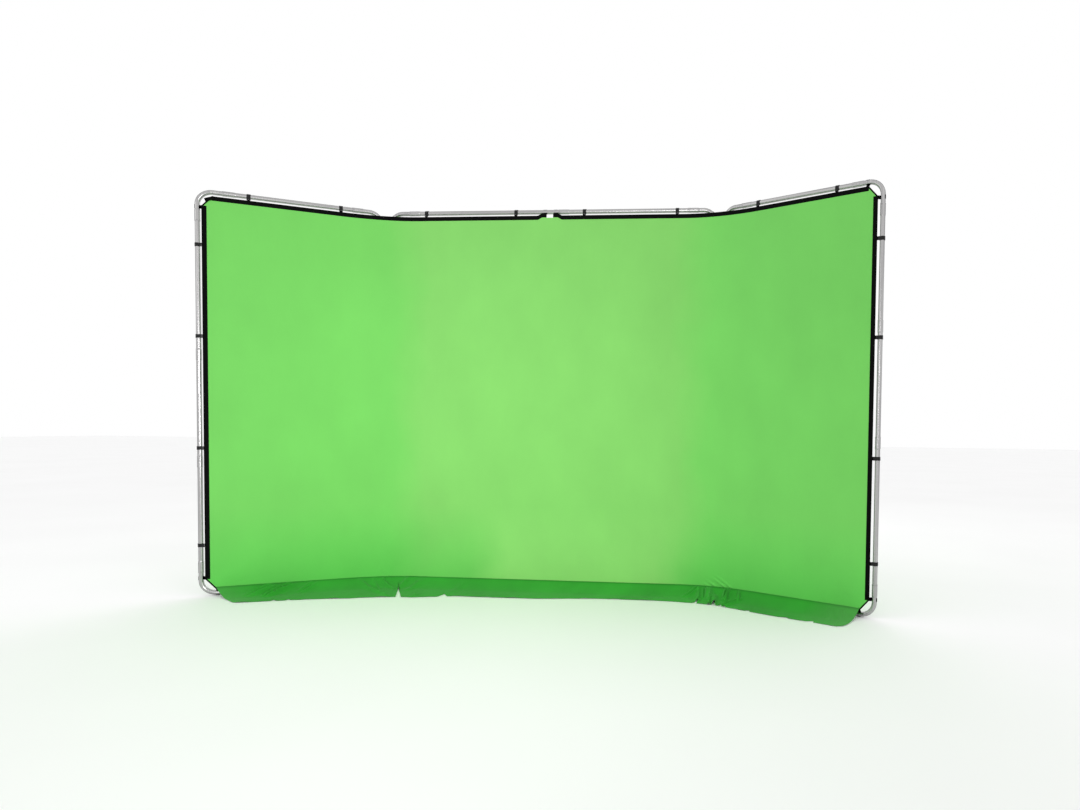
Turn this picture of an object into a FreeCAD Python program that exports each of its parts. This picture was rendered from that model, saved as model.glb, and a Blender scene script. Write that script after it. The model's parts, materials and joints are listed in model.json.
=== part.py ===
"""Folding three-panel studio backdrop: tube frames, hinge clips, stretched cloth and floor skirt.

Frame: +Z up, +X to the viewer's right, the viewer stands on the -Y side.
The origin is on the floor, at the centre of the bounding box's base.  Millimetres.
"""
import FreeCAD, Part
import math
import os

from FreeCAD import Vector

# ---- driving dimensions -------------------------------------------------------------------
TOTAL_HEIGHT = 2300.0        # floor to the top, over the cloth hooks
CENTRE_WIDTH = 2000.0        # between the axes of the centre frame's uprights
WING_WIDTH = 960.0           # the same, for each wing
WING_ANGLE = 30.0            # how far each wing stands forward of the centre panel

TUBE_R = 12.7                # outer radius of the tube
TUBE_WALL = 1.2
BEND_R = 75.0                # corner radius on the tube's axis
ELBOW_LEG = 46.0             # straight part of an elbow that shows before the next socket

SOCKET_LENGTH = 60.0         # widened end that takes the next tube
SOCKET_GAP = 0.1             # radial clearance between a tube and the socket around it
SOCKET_WALL = 1.3
SOCKET_TAPER = 6.0
SOCKET_LEG = 26.0            # straight part of an elbow between its bend and its socket's taper
LIP_RISE, LIP_LENGTH = 0.5, 2.5
INSERTION = 55.0             # how deep a tube sits in the next one's socket
KEY_R, KEY_RISE = 2.0, 1.6   # pressed key on a tube, and the socket's notch that holds it
KEY_AT = 5.0
NOTCH_WIDTH, NOTCH_LENGTH = 4.6, 8.0

UPRIGHT_PITCHES = (600.0, 605.0)   # socket to socket, in the order of assembly; the last takes the rest
CENTRE_BAR_PITCHES = (931.0,)      # the same, for the two halves of the centre frame's bars
CORD_R, KNOT_R = 2.5, 5.0          # elastic cord inside the tubes
PLUG_LENGTH = 10.0

LINK_ARM = 27.5              # from a tube's axis to the hinge pin
LINK_HEIGHTS = (330.0, 1150.0, 1970.0)
LINK_TALL = 36.0
JAW_GAP, JAW_WALL = 0.15, 4.0
JAW_MOUTH = 100.0            # degrees that a link's jaw is open, on the cloth side
KNUCKLE_R, KNUCKLE_GAP = 6.0, 0.5
KNUCKLE_END = 9.0            # height of the two knuckles on the centre frame's jaw
PIN_R, PIN_GAP = 3.0, 0.08
PIN_HEAD_R, PIN_HEAD = 4.6, 1.6

CLOTH_BACK, CLOTH_FRONT = -16.3, -17.8     # the cloth's plane, in front of the tubes
TAPE_BACK, TAPE_FRONT = -15.5, -18.6       # binding tape folded over the cloth's top and side edges
TAPE_EDGE = 25.0             # from a bar's axis to the tape's outer edge
SIDE_EDGE = 21.0             # the same, from an outer upright's axis
TAPE_WIDTH = 25.0
TAPE_GRIP = 20.0             # how deep the cloth sits in the folded tape
CLOTH_PAST_TUBE = 7.5        # cloth past an inner upright's axis, towards the hinge
CORNER_CUT = (50.0, 58.0)    # the cloth's cut corners, along the bar and along the upright
CUT_SHORTER = 2 - math.sqrt(2)       # how much less a cut corner's legs are, for each mm further in
PIPING_WIDTH = 8.0
TOP_GAP = 40.0               # opening in the top tape at the middle of the centre panel
GAP_NOTCH = 13.0             # the cloth's notch in that opening, from the tape's top edge
TAPE_RISE = 14.0             # the tape's two ends beside the opening are drawn up to the tube
TAPE_RISE_ENDS, TAPE_RISE_STARTS = 24.0, 58.0      # from the opening's edge
TAIL_LENGTH, TAIL_SEWN, TAIL_WIDE = 36.0, 12.0, 20.0    # free strap end at the left wing's top corner
TAIL_DROOP = 22.0            # degrees

HOOK_GAP, HOOK_WALL, HOOK_WIDE = 0.15, 2.4, 20.0
HOOK_FROM, HOOK_TO = 110.0, 340.0    # degrees of tube that a cloth hook holds
HOOK_TAB = 23.0
HOOK_FILLET = 0.7
HOOK_SLOT = (3.0, 5.5)       # slot through a hook's tab, from the tab's end
HOOK_SLOT_HALF = 7.0
LOOP_R_IN, LOOP_R_OUT, LOOP_WIDE = 12.9, 14.3, 20.0
BEND_LOOP_WIDE = 10.0        # the loops round the centre frame's bends
LOOP_FROM, LOOP_TO = 5.0, 205.0
WEBBING, WEBBING_HALF = 1.2, 7.0
WEBBING_UNDER = 13.0         # how far a hook's webbing reaches behind the tape
OUTER_HOOK_HEIGHTS = (292.0, 845.0, 1475.0, 1985.0)
WING_BAR_HOOKS = (250.0, 730.0)      # from the outer upright's axis
CENTRE_BAR_HOOKS = (-770.0, -210.0, 210.0, 770.0)
LOOP_FROM_CORNER = (82.0, 88.0)      # along a bar, and along an outer upright
LOOP_FROM_MIDDLE = 33.0

SKIRT_TOP = 52.0
SKIRT_DEPTH = 280.0          # reach of the skirt's front edge from the tube's axis
SKIRT_PROFILE = (            # distance in front of the tube's axis, height: outer face, then inner
    (20.2, SKIRT_TOP), (28.0, 36.0), (75.0, 12.0), (140.0, 1.5), (SKIRT_DEPTH, 1.5),
    (SKIRT_DEPTH, 0.0), (139.5, 0.0), (74.2, 10.5), (26.8, 34.7), (18.7, SKIRT_TOP),
)
SKIRT_MITRE = 24.0           # at depth d the skirt ends this far past the tube's axis, less d
SKIRT_OUTER = (76.0, 102.0)  # from the outer upright's axis to the skirt's end, at the seam and in front

# ---- dimensions that follow ---------------------------------------------------------------
LOW = TUBE_R + HOOK_GAP + HOOK_WALL        # height of the bottom bars' axis: the hooks touch the floor
HIGH = TOTAL_HEIGHT - LOW                  # height of the top bars' axis
BORE_R = TUBE_R - TUBE_WALL
SOCKET_R_IN = TUBE_R + SOCKET_GAP
SOCKET_R_OUT = SOCKET_R_IN + SOCKET_WALL
ELBOW_SOCKET = SOCKET_LENGTH + SOCKET_TAPER + SOCKET_LEG
JAW_R_IN = TUBE_R + JAW_GAP
JAW_R_OUT = JAW_R_IN + JAW_WALL
PIN_X = CENTRE_WIDTH / 2 + LINK_ARM
INNER_U, OUTER_U = LINK_ARM, LINK_ARM + WING_WIDTH     # a wing's uprights, measured from its pin
CLOTH_START = LINK_ARM - CLOTH_PAST_TUBE
BACK_Y = JAW_R_OUT
LEAN = math.radians(WING_ANGLE)
FRONT_Y = -((OUTER_U - SKIRT_OUTER[1]) * math.sin(LEAN) + SKIRT_DEPTH * math.cos(LEAN))
ORIGIN_Y = (BACK_Y + FRONT_Y) / 2          # the box's middle, measured from the centre frame's plane

X, Y, Z = Vector(1, 0, 0), Vector(0, 1, 0), Vector(0, 0, 1)
ORIGIN = Vector(0, 0, 0)
QUARTER_TURNS = {"top": 0, "right": 90, "bottom": 180, "left": 270}   # about +Y, going round clockwise
parts = {}


# ---- small helpers ------------------------------------------------------------------------
def prism(points, direction):
    """Solid from a closed outline of points, extruded along a vector."""
    outline = [Vector(*p) for p in points]
    return Part.Face(Part.makePolygon(outline + outline[:1])).extrude(direction)


def moved(shape, offset):
    copy = shape.copy()
    copy.translate(Vector(*offset))
    return copy


def turned(shape, axis, degrees, centre=ORIGIN):
    copy = shape.copy()
    copy.rotate(centre, axis, degrees)
    return copy


def arc_band(r_in, r_out, start, end, height):
    """Part of a ring about Z from one angle to another, in degrees, centred on z = 0."""
    def at(radius, degrees):
        return Vector(radius * math.cos(math.radians(degrees)), radius * math.sin(math.radians(degrees)), 0)

    middle = (start + end) / 2
    edges = [
        Part.Arc(at(r_out, start), at(r_out, middle), at(r_out, end)).toShape(),
        Part.makeLine(at(r_out, end), at(r_in, end)),
        Part.Arc(at(r_in, end), at(r_in, middle), at(r_in, start)).toShape(),
        Part.makeLine(at(r_in, start), at(r_out, start)),
    ]
    return moved(Part.Face(Part.Wire(edges)).extrude(Z * height), (0, 0, -height / 2))


def box(x_range, y_range, z_range):
    low = Vector(min(x_range), min(y_range), min(z_range))
    high = Vector(max(x_range), max(y_range), max(z_range))
    size = high - low
    return Part.makeBox(size.x, size.y, size.z, low)


# ---- tubes --------------------------------------------------------------------------------
def socket_tube(length):
    """Tube along +X whose first stretch is a socket; its wall ends at the given length."""
    outline = [
        (0, SOCKET_R_IN), (SOCKET_LENGTH - 2, SOCKET_R_IN), (SOCKET_LENGTH + SOCKET_TAPER - 2, BORE_R),
        (length, BORE_R), (length, TUBE_R), (SOCKET_LENGTH + SOCKET_TAPER, TUBE_R),
        (SOCKET_LENGTH, SOCKET_R_OUT), (LIP_LENGTH + LIP_RISE, SOCKET_R_OUT),
        (LIP_LENGTH, SOCKET_R_OUT + LIP_RISE), (0, SOCKET_R_OUT + LIP_RISE),
    ]
    points = [Vector(along, 0, radius) for along, radius in outline]
    tube = Part.Face(Part.makePolygon(points + points[:1])).revolve(ORIGIN, X, 360)
    notch = box((-1, NOTCH_LENGTH), (-SOCKET_R_OUT - 2, -TUBE_R + 2), (-NOTCH_WIDTH / 2, NOTCH_WIDTH / 2))
    return tube.cut(notch)


def key_boss(along):
    """Pressed key on the front of a tube along +X, for the next socket's notch."""
    start = Vector(along, -(TUBE_R - TUBE_WALL / 2), 0)
    return Part.makeCylinder(KEY_R, TUBE_WALL / 2 + KEY_RISE, start, -Y)


def straight_tube(pitch):
    """Tube along +X from its socket's mouth to its plain end, which sits in the next socket."""
    return socket_tube(pitch + INSERTION).fuse(key_boss(pitch + KEY_AT))


def elbow_tube():
    """Corner tube: socket and leg along +X up to the origin, a quarter bend, then a plain leg down -Z."""
    lead = moved(socket_tube(ELBOW_SOCKET), (-ELBOW_SOCKET, 0, 0))
    rings = [Part.Wire(Part.makeCircle(radius, ORIGIN, X)) for radius in (TUBE_R, BORE_R)]
    bend = Part.Face(rings).revolve(Vector(0, 0, -BEND_R), Y, 90)
    leg = Part.makeCylinder(TUBE_R, ELBOW_LEG + INSERTION, ORIGIN, X)
    leg = leg.cut(Part.makeCylinder(BORE_R, ELBOW_LEG + INSERTION, ORIGIN, X))
    leg = leg.fuse(key_boss(ELBOW_LEG + KEY_AT))
    leg = moved(turned(leg, Y, 90), (BEND_R, 0, -BEND_R))
    return lead.fuse([bend, leg]).removeSplitter()


def ring_sides(left, right):
    """For each side of a ring of tube: where its straight run starts, its direction and its length."""
    across, along = right - left - 2 * BEND_R, HIGH - LOW - 2 * BEND_R
    return {
        "top": (Vector(left + BEND_R, 0, HIGH), X, across),
        "right": (Vector(right, 0, HIGH - BEND_R), -Z, along),
        "bottom": (Vector(right - BEND_R, 0, LOW), -X, across),
        "left": (Vector(left, 0, LOW + BEND_R), Z, along),
    }


def ring_tubes(left, right, names):
    """All tubes of one frame.  names gives, for each side, its tubes and the elbow that ends it."""
    tubes = {}
    for side, (start, heading, length) in ring_sides(left, right).items():
        tube_names, elbow_name = names[side]
        run = length - ELBOW_LEG - ELBOW_SOCKET
        first = {1: (), 2: CENTRE_BAR_PITCHES, 3: UPRIGHT_PITCHES}[len(tube_names)]
        pitches = [*first, run - sum(first)]
        mouth = ELBOW_LEG
        for name, pitch in zip(tube_names, pitches):
            tube = turned(straight_tube(pitch), Y, QUARTER_TURNS[side])
            tubes[name] = moved(tube, start + heading * mouth)
            mouth += pitch
        tubes[elbow_name] = moved(turned(elbow_tube(), Y, QUARTER_TURNS[side]), start + heading * length)
    return tubes


def cord_and_plugs(left, right):
    """Elastic cord through every tube but one joint, and the two plugs that its end knots pull on."""
    sides = ring_sides(left, right)
    open_mouth = sides["bottom"][0] + sides["bottom"][1] * (sides["bottom"][2] - ELBOW_SOCKET)
    first_knot = open_mouth - X * (SOCKET_LENGTH + 3)
    last_knot = open_mouth - X * (INSERTION - 9)
    corner = BEND_R * (1 - math.sqrt(0.5))
    edges = [Part.makeLine(first_knot, Vector(left + BEND_R, 0, LOW))]
    bends = {      # the middle of each bend, and where it ends
        "left": (Vector(left + corner, 0, LOW + corner), Vector(left, 0, LOW + BEND_R)),
        "top": (Vector(left + corner, 0, HIGH - corner), Vector(left + BEND_R, 0, HIGH)),
        "right": (Vector(right - corner, 0, HIGH - corner), Vector(right, 0, HIGH - BEND_R)),
        "bottom": (Vector(right - corner, 0, LOW + corner), Vector(right - BEND_R, 0, LOW)),
    }
    for side in ("left", "top", "right", "bottom"):
        middle, end = bends[side]
        edges.append(Part.Arc(edges[-1].Vertexes[-1].Point, middle, end).toShape())
        start, heading, length = sides[side]
        edges.append(Part.makeLine(start, last_knot if side == "bottom" else start + heading * length))
    section = Part.Wire(Part.makeCircle(CORD_R, first_knot, X))
    cord = Part.Wire(edges).makePipeShell([section], True, True)
    cord = cord.fuse([Part.makeSphere(KNOT_R, first_knot), Part.makeSphere(KNOT_R, last_knot)])
    plug = Part.makeCylinder(BORE_R - 0.1, PLUG_LENGTH, ORIGIN, -X)
    plug = plug.cut(Part.makeCylinder(CORD_R + 0.1, PLUG_LENGTH, ORIGIN, -X))
    shift = KNOT_R + 1
    plugs = [moved(plug, first_knot - X * shift), moved(plug, last_knot + X * (shift + PLUG_LENGTH))]
    return cord, Part.makeCompound(plugs)


# ---- hinge clips --------------------------------------------------------------------------
def link_jaw(ends):
    """Clip-on jaw round a tube on the Z axis, with an arm along +X to the hinge pin.

    With ends it carries the upper and lower knuckle, and otherwise the middle one.
    """
    open_half = JAW_MOUTH / 2
    ring = arc_band(JAW_R_IN, JAW_R_OUT, -90 + open_half, 270 - open_half, LINK_TALL)
    lips = []
    lip_at = (JAW_R_IN + JAW_R_OUT) / 2
    for angle in (math.radians(-90 + open_half), math.radians(270 - open_half)):
        at = Vector(lip_at * math.cos(angle), lip_at * math.sin(angle), -LINK_TALL / 2)
        lips.append(Part.makeCylinder(JAW_WALL / 2, LINK_TALL, at, Z))
    reach = LINK_ARM
    arm = box((JAW_R_IN + 1.5, reach), (-KNUCKLE_R + 2, KNUCKLE_R - 2), (-LINK_TALL / 2, LINK_TALL / 2))
    knuckle = Part.makeCylinder(KNUCKLE_R, LINK_TALL, Vector(reach, 0, -LINK_TALL / 2), Z)
    body = ring.fuse(lips + [arm, knuckle])
    body = body.cut(Part.makeCylinder(PIN_R + PIN_GAP, LINK_TALL, Vector(reach, 0, -LINK_TALL / 2), Z))
    middle = LINK_TALL / 2 - KNUCKLE_END
    clear_x = (reach - KNUCKLE_R - 1.0, reach + KNUCKLE_R + 1)
    clear_y = (-KNUCKLE_R - 1, KNUCKLE_R + 1)
    if ends:
        return body.cut(box(clear_x, clear_y, (-middle, middle))).removeSplitter()
    tall = (middle - KNUCKLE_GAP, LINK_TALL / 2 + 1)
    body = body.cut(box(clear_x, clear_y, tall))
    return body.cut(box(clear_x, clear_y, (-tall[0], -tall[1]))).removeSplitter()


def hinge_pin():
    """Riveted pin on the Z axis, a head on each end of the jaws' knuckles."""
    half = LINK_TALL / 2 + 0.2
    pin = Part.makeCylinder(PIN_R, 2 * half, Vector(0, 0, -half), Z)
    heads = [Part.makeCylinder(PIN_HEAD_R, PIN_HEAD, Vector(0, 0, z), Z) for z in (half, -half - PIN_HEAD)]
    return pin.fuse(heads).removeSplitter()


def at_link_heights(shape, x):
    return [moved(shape, (x, 0, z)) for z in LINK_HEIGHTS]


# ---- cloth, tape, hooks and skirt ---------------------------------------------------------
def slab(outline, back, front):
    """Thin sheet parallel to the tubes' plane from an outline in x and z."""
    return prism([(x, back, z) for x, z in outline], Y * (front - back))


def cloth_outline(inner, outer, inset):
    """Outline of a wing's cloth.  inset moves the outer, top and bottom edges in from the tape's edge."""
    sign = 1 if outer > inner else -1
    side = outer - sign * inset
    low, high = LOW + TAPE_EDGE + inset, HIGH - TAPE_EDGE - inset
    cut_x, cut_z = (size - CUT_SHORTER * inset for size in CORNER_CUT)
    return [
        (inner, low), (side - sign * cut_x, low), (side, low + cut_z),
        (side, high - cut_z), (side - sign * cut_x, high), (inner, high),
    ]


def wing_cloth(inner, outer):
    """A wing's cloth, and its tape solids; inner and outer are signed x values.

    The tape is folded over the top and side edges.  Along the bottom it lies flat behind the cloth.
    """
    sign = 1 if outer > inner else -1
    gripped = TAPE_WIDTH - TAPE_GRIP
    cloth = slab(cloth_outline(inner, outer, gripped), CLOTH_BACK, CLOTH_FRONT)
    whole = slab(cloth_outline(inner, outer, 0), TAPE_BACK, TAPE_FRONT)
    low, high = LOW + TAPE_EDGE, HIGH - TAPE_EDGE
    depth = (TAPE_BACK + 1, TAPE_FRONT - 1)
    corner = outer - sign * CORNER_CUT[0]
    bands = [
        box((inner, corner), depth, (high - TAPE_WIDTH, high)),
        box((inner, corner), (TAPE_BACK + 1, CLOTH_BACK), (low, low + TAPE_WIDTH)),
        box((outer - sign * TAPE_WIDTH, outer), depth, (low + CORNER_CUT[1], high - CORNER_CUT[1])),
    ]
    tape = [whole.common(band).cut(cloth) for band in bands]
    edge = slab(cloth_outline(inner, outer, PIPING_WIDTH), TAPE_BACK, TAPE_FRONT)
    corner_x = (corner, outer)
    for z_range in ((low, low + CORNER_CUT[1]), (high - CORNER_CUT[1], high)):
        strip = whole.cut(edge).common(box(corner_x, depth, z_range)).cut(cloth)
        tape += [solid for solid in strip.Solids if solid.Volume > 50]
    return cloth, tape


def centre_cloth():
    """The centre panel's cloth and the tape solids along its top and bottom."""
    half, gap = PIN_X - CLOTH_START, TOP_GAP / 2
    gripped = TAPE_WIDTH - TAPE_GRIP
    low, high = LOW + TAPE_EDGE, HIGH - TAPE_EDGE
    cloth = box((-half, half), (CLOTH_BACK, CLOTH_FRONT), (low + gripped, high - gripped))
    notch = box((-gap, gap), (CLOTH_BACK + 1, CLOTH_FRONT - 1), (high - GAP_NOTCH, high))
    cloth = cloth.cut(notch)
    top_edge = [
        (gap, high + TAPE_RISE), (gap + TAPE_RISE_ENDS, high + TAPE_RISE), (gap + TAPE_RISE_STARTS, high),
        (half, high),
    ]
    outline = top_edge + [(x, z - TAPE_WIDTH) for x, z in reversed(top_edge)]
    right_tape = slab(outline, TAPE_BACK, TAPE_FRONT)
    bottom_tape = box((-half, half), (TAPE_BACK, CLOTH_BACK), (low, low + TAPE_WIDTH))
    tape = [right_tape, right_tape.mirror(ORIGIN, X), bottom_tape]
    return cloth, [strip.cut(cloth) for strip in tape]


def tape_tail():
    """Free strap end on the left wing's top tape: it runs on past the cut corner, drooping."""
    back = TAPE_FRONT - 0.1
    strap = box((-TAIL_LENGTH, TAIL_SEWN), (back - WEBBING, back), (-TAIL_WIDE / 2, TAIL_WIDE / 2))
    corner = (CORNER_CUT[0] - OUTER_U + SIDE_EDGE, 0, HIGH - TAPE_EDGE - TAPE_WIDTH / 2)
    return moved(turned(strap, Y, -TAIL_DROOP), corner)


def cloth_hook():
    """Plastic snap hook round a tube on the Z axis, its tab reaching along +X over the front."""
    r_in = TUBE_R + HOOK_GAP
    ring = arc_band(r_in, r_in + HOOK_WALL, HOOK_FROM, HOOK_TO, HOOK_WIDE)
    tab = box((0, HOOK_TAB), (-r_in - HOOK_WALL, -r_in - 0.4), (-HOOK_WIDE / 2, HOOK_WIDE / 2))
    slot_x = (HOOK_TAB - HOOK_SLOT[1], HOOK_TAB - HOOK_SLOT[0])
    slot = box(slot_x, (-r_in - HOOK_WALL - 1, -r_in + 1), (-HOOK_SLOT_HALF, HOOK_SLOT_HALF))
    hook = ring.fuse(tab).removeSplitter()
    long_edges = [edge for edge in hook.Edges if abs(edge.Length - HOOK_WIDE) < 0.01]
    tab_end = [edge for edge in long_edges if edge.Vertexes[0].X > HOOK_TAB - 1]
    ring_end = [edge for edge in long_edges if edge.Vertexes[0].Y > 5]
    return hook.makeFillet(HOOK_FILLET, tab_end + ring_end).cut(slot)


def hook_webbing():
    """Short piece of webbing sewn behind the tape, in line with a hook's tab."""
    front = TAPE_BACK + 0.1
    x_range = (HOOK_TAB + 0.1, TAPE_EDGE + WEBBING_UNDER)
    return box(x_range, (front, front + WEBBING), (-WEBBING_HALF, WEBBING_HALF))


def corner_loop(wide=LOOP_WIDE):
    """Webbing loop that passes behind a tube on the Z axis and is sewn to the tape's end, at +X."""
    band = arc_band(LOOP_R_IN, LOOP_R_OUT, LOOP_FROM, LOOP_TO, wide)
    lead = prism(
        [(LOOP_R_OUT - 1.3, 1.6, 0), (LOOP_R_OUT + 0.2, 1.6, 0), (TAPE_EDGE + 9, TAPE_BACK + 0.2, 0),
         (TAPE_EDGE + 6.5, TAPE_BACK + 0.2, 0)], Z * wide)
    return band.fuse(moved(lead, (0, 0, -wide / 2))).removeSplitter()


def bend_loops():
    """Loops round the middle of the centre frame's four bends, towards the cloth's corners."""
    loop = turned(corner_loop(BEND_LOOP_WIDE), Y, 135)
    offset = BEND_R * (1 - math.sqrt(0.5))
    right_top = moved(loop, (CENTRE_WIDTH / 2 - offset, 0, HIGH - offset))
    right = [right_top, right_top.mirror(Vector(0, 0, (HIGH + LOW) / 2), Z)]
    return right + [piece.mirror(ORIGIN, X) for piece in right]


def on_tube(shape, towards, at):
    """Turns a piece made round the Z axis onto a tube, its +X side towards the cloth's middle."""
    turn = {"+x": (Y, 0), "-x": (Z, 180), "-z": (Y, 90), "+z": (Y, -90)}[towards]
    if towards == "-x":           # mirrored in x, so that its tab stays on the cloth's side
        return moved(shape.mirror(ORIGIN, X), at)
    return moved(turned(shape, *turn), at)


def fittings(places, shape):
    return [on_tube(shape, towards, at) for towards, at in places]


def wing_hook_places(sign):
    """Where a wing's hooks and loops sit; sign is +1 for the right wing and -1 for the left."""
    outer = sign * OUTER_U
    inwards = "-x" if sign > 0 else "+x"
    bars = (("-z", HIGH), ("+z", LOW))
    hooks = [(inwards, (outer, 0, z)) for z in OUTER_HOOK_HEIGHTS]
    hooks += [(way, (outer - sign * u, 0, z)) for way, z in bars for u in WING_BAR_HOOKS]
    on_bar, on_upright = LOOP_FROM_CORNER
    loops = [(inwards, (outer, 0, z)) for z in (LOW + on_upright, HIGH - on_upright)]
    loops.append(("+z", (outer - sign * on_bar, 0, LOW)))
    if sign > 0:                  # the left wing has its free strap end there
        loops.append(("-z", (outer - sign * on_bar, 0, HIGH)))
    return hooks, loops


def centre_hook_places():
    bars = (("-z", HIGH), ("+z", LOW))
    hooks = [(way, (x, 0, z)) for way, z in bars for x in CENTRE_BAR_HOOKS]
    loops = [("-z", (x, 0, HIGH)) for x in (-LOOP_FROM_MIDDLE, LOOP_FROM_MIDDLE)]
    return hooks, loops


def skirt(from_x, to_x, plan):
    """Skirt profile run along x, then cut to a plan outline seen from above."""
    run = prism([(from_x, -depth, z) for depth, z in SKIRT_PROFILE], X * (to_x - from_x))
    return run.common(prism([(x, y, -1) for x, y in plan], Z * (SKIRT_TOP + 2)))


def wing_skirt(sign):
    """A wing's skirt: mitred at the hinge, so that two skirts meet only past the joint's limit."""
    near = LINK_ARM - SKIRT_MITRE
    far = [OUTER_U - offset for offset in SKIRT_OUTER]
    plan = [
        (sign * (near + 10), -10), (sign * (near + SKIRT_DEPTH + 5), -SKIRT_DEPTH - 5),
        (sign * far[1], -SKIRT_DEPTH - 5), (sign * far[1], -SKIRT_DEPTH + 40), (sign * far[0], -10),
    ]
    return skirt(sign * near, sign * far[0], plan)


def centre_skirt():
    """The centre panel's skirt in two lengths, seamed at the middle."""
    end = CENTRE_WIDTH / 2 + SKIRT_MITRE
    plan = [(0, -10), (0, -SKIRT_DEPTH - 5), (end - SKIRT_DEPTH - 5, -SKIRT_DEPTH - 5), (end - 10, -10)]
    right = skirt(0, end, plan)
    return [right.mirror(ORIGIN, X), right]


# ---- assembly -----------------------------------------------------------------------------
def add(name, shape, sign=0):
    """Stores a piece.  sign places a wing's piece on its pin and swings it forward; 0 is the centre's."""
    solids = shape if isinstance(shape, list) else shape.Solids
    shape = solids[0] if len(solids) == 1 else Part.makeCompound(solids)
    if sign:
        shape = moved(turned(shape, Z, -sign * WING_ANGLE), (sign * PIN_X, 0, 0))
    parts[name] = moved(shape, (0, -ORIGIN_Y, 0))


def wing(name, sign):
    inner, outer = sign * INNER_U, sign * OUTER_U
    left, right = min(inner, outer), max(inner, outer)
    left_is, right_is = ("inner", "outer") if sign > 0 else ("outer", "inner")
    names = {
        "top": ([f"{name}_top_bar"], f"{name}_corner_top_{right_is}"),
        "right": ([f"{name}_{right_is}_upright_{part}" for part in ("upper", "middle", "lower")],
                  f"{name}_corner_bottom_{right_is}"),
        "bottom": ([f"{name}_bottom_bar"], f"{name}_corner_bottom_{left_is}"),
        "left": ([f"{name}_{left_is}_upright_{part}" for part in ("lower", "middle", "upper")],
                 f"{name}_corner_top_{left_is}"),
    }
    for tube_name, tube in ring_tubes(left, right, names).items():
        add(tube_name, tube, sign)
    cord, plugs = cord_and_plugs(left, right)
    add(f"{name}_shock_cord", cord, sign)
    add(f"{name}_cord_plugs", plugs, sign)

    jaw = link_jaw(ends=False)
    jaw = jaw.mirror(ORIGIN, X) if sign > 0 else jaw
    add(f"{name}_link_jaws", at_link_heights(jaw, inner), sign)

    cloth, tape = wing_cloth(sign * CLOTH_START, sign * (OUTER_U - SIDE_EDGE))
    hooks, loops = wing_hook_places(sign)
    add(f"{name}_cloth", cloth, sign)
    tape += fittings(hooks, hook_webbing()) + fittings(loops, corner_loop())
    if sign < 0:
        tape.append(tape_tail())
    add(f"{name}_edge_tape", tape, sign)
    add(f"{name}_cloth_hooks", fittings(hooks, cloth_hook()), sign)
    add(f"{name}_skirt", wing_skirt(sign), sign)


def centre():
    half = CENTRE_WIDTH / 2
    names = {
        "top": (["centre_top_bar_left", "centre_top_bar_right"], "centre_corner_top_right"),
        "right": ([f"centre_right_upright_{part}" for part in ("upper", "middle", "lower")],
                  "centre_corner_bottom_right"),
        "bottom": (["centre_bottom_bar_right", "centre_bottom_bar_left"], "centre_corner_bottom_left"),
        "left": ([f"centre_left_upright_{part}" for part in ("lower", "middle", "upper")],
                 "centre_corner_top_left"),
    }
    for tube_name, tube in ring_tubes(-half, half, names).items():
        add(tube_name, tube)
    cord, plugs = cord_and_plugs(-half, half)
    add("centre_shock_cord", cord)
    add("centre_cord_plugs", plugs)

    jaw = link_jaw(ends=True)
    add("centre_link_jaws", at_link_heights(jaw, half) + at_link_heights(jaw.mirror(ORIGIN, X), -half))
    add("link_hinge_pins", at_link_heights(hinge_pin(), PIN_X) + at_link_heights(hinge_pin(), -PIN_X))

    cloth, tape = centre_cloth()
    hooks, loops = centre_hook_places()
    add("centre_cloth", cloth)
    tape += fittings(hooks, hook_webbing()) + fittings(loops, corner_loop()) + bend_loops()
    add("centre_edge_tape", tape)
    add("centre_cloth_hooks", fittings(hooks, cloth_hook()))
    add("centre_skirt", centre_skirt())


centre()
wing("left_wing", -1)
wing("right_wing", 1)

os.makedirs("parts", exist_ok=True)
for part_name, part_shape in parts.items():
    part_shape.exportStep(f"parts/{part_name}.step")
    valid = all(solid.isValid() for solid in part_shape.Solids)
    print(part_name, len(part_shape.Solids), "solids", round(part_shape.Volume / 1000, 1), "cm3", valid)
print(len(parts), "nodes; the pins stand at x =", PIN_X, "and y =", round(-ORIGIN_Y, 3))
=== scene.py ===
"""Looks of a folding three-panel studio backdrop: one green cloth on three hinged rings of tube.

Everything is in metres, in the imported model's frame: +Z up, the viewer on the -Y side.
A place on the cloth is given by its side (-1 left, +1 right), a column that runs from the middle of
the centre panel to the wing's outer end, its depth in front of the tubes' axes, and its height.
"""
import json
import math

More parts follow.
